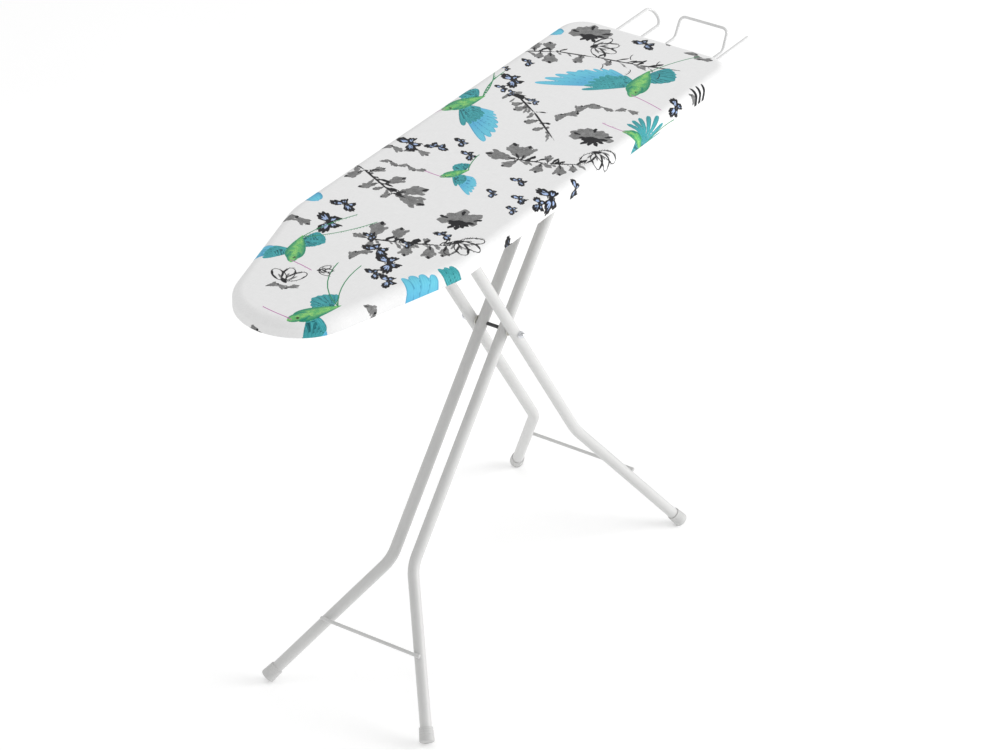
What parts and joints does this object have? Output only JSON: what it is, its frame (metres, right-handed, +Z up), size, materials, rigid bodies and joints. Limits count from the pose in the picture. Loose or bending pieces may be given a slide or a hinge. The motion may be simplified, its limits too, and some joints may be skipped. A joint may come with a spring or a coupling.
{
  "type": "ironing board",
  "caption": "Folding ironing board with a padded fabric-covered steel top, scissor tube legs, a sliding friction height lock and a bent wire iron rest.",
  "frame": {"origin": "on the floor, half way along the board together with its iron rest, on the middle plane", "axes": "+X from the nose to the iron rest, +Z up; left is -Y, right is +Y"},
  "size_m": [1.2795, 0.3588, 0.833],
  "materials": {
    "cover_cotton": "plain woven cotton, pale grey-white, printed with birds, butterflies and leaves",
    "pad_foam": "foam and felt padding",
    "elastic": "covered elastic",
    "board_steel": "light grey powder coat",
    "leg_paint": "light grey semi-gloss powder coat",
    "rest_wire": "light grey gloss coat",
    "zinc_steel": "bright zinc plate",
    "dark_steel": "dark oiled steel",
    "chrome": "chrome plate",
    "foot_plastic": "satin light grey plastic",
    "nylon": "natural nylon",
    "black_nylon": "black nylon",
    "grip_plastic": "satin mid grey plastic"
  },
  "bodies": {
    "board": {"cover": "cover_cotton", "pad": "pad_foam", "hem_elastic": "elastic", "board_panel": "board_steel", "board_rim": "board_steel", "rail_left": "board_steel", "rail_right": "board_steel", "strap_nose": "board_steel", "strap_middle": "board_steel", "strap_hinge": "board_steel", "rest_bearer_rear": "board_steel", "rest_bearer_front": "board_steel", "hinge_bracket_left": "zinc_steel", "hinge_bracket_right": "zinc_steel", "hinge_rivets": "zinc_steel", "strap_rivets": "zinc_steel", "guide_rivets": "zinc_steel", "guide_bracket_nose": "zinc_steel", "guide_bracket_rear": "zinc_steel", "guide_rod": "zinc_steel", "iron_rest": "rest_wire", "rest_tie": "rest_wire", "rest_clips": "zinc_steel", "rest_screws": "zinc_steel"},
    "front_legs": {"front_leg_left": "leg_paint", "front_leg_right": "leg_paint", "front_foot_left": "foot_plastic", "front_foot_right": "foot_plastic", "front_top_rod": "leg_paint", "front_brace": "leg_paint", "hinge_push_nuts": "zinc_steel"},
    "rear_legs": {"rear_leg_left": "leg_paint", "rear_leg_right": "leg_paint", "rear_foot_left": "foot_plastic", "rear_foot_right": "foot_plastic", "rear_top_rod": "leg_paint", "rear_brace": "leg_paint", "pivot_rod": "dark_steel", "pivot_cap_nuts": "chrome", "pivot_washers": "nylon"},
    "slider": {"slider_block": "black_nylon", "lever_pin": "zinc_steel", "lock_spring": "dark_steel"},
    "lever": {"lock_lever": "zinc_steel", "lever_grip": "grip_plastic"}
  },
  "joints": [
    {"name": "front_fold", "type": "hinge", "parent": "board", "child": "front_legs", "pos_m": [0.19246, 0, 0.789], "axis": [0, 1, 0], "range_deg": [0, 49]},
    {"name": "leg_pivot", "type": "hinge", "parent": "front_legs", "child": "rear_legs", "pos_m": [-0.01575, 0, 0.5145], "axis": [0, 1, 0], "range_deg": [-98, 0]},
    {"name": "slider_level", "type": "hinge", "parent": "rear_legs", "child": "slider", "pos_m": [-0.22396, 0, 0.789], "axis": [0, 1, 0], "range_deg": [0, 49]},
    {"name": "lever_press", "type": "hinge", "parent": "slider", "child": "lever", "pos_m": [-0.25596, 0.016, 0.8015], "axis": [0, 0, 1], "range_deg": [0, 10], "stiffness_Nm_per_rad": 0.6, "springref_deg": -5.73, "deforming": ["lock_spring"]}
  ],
  "couplings": [
    {"joint": "leg_pivot", "follows": "front_fold", "ratio": -2},
    {"joint": "slider_level", "follows": "front_fold", "ratio": 1}
  ]
}
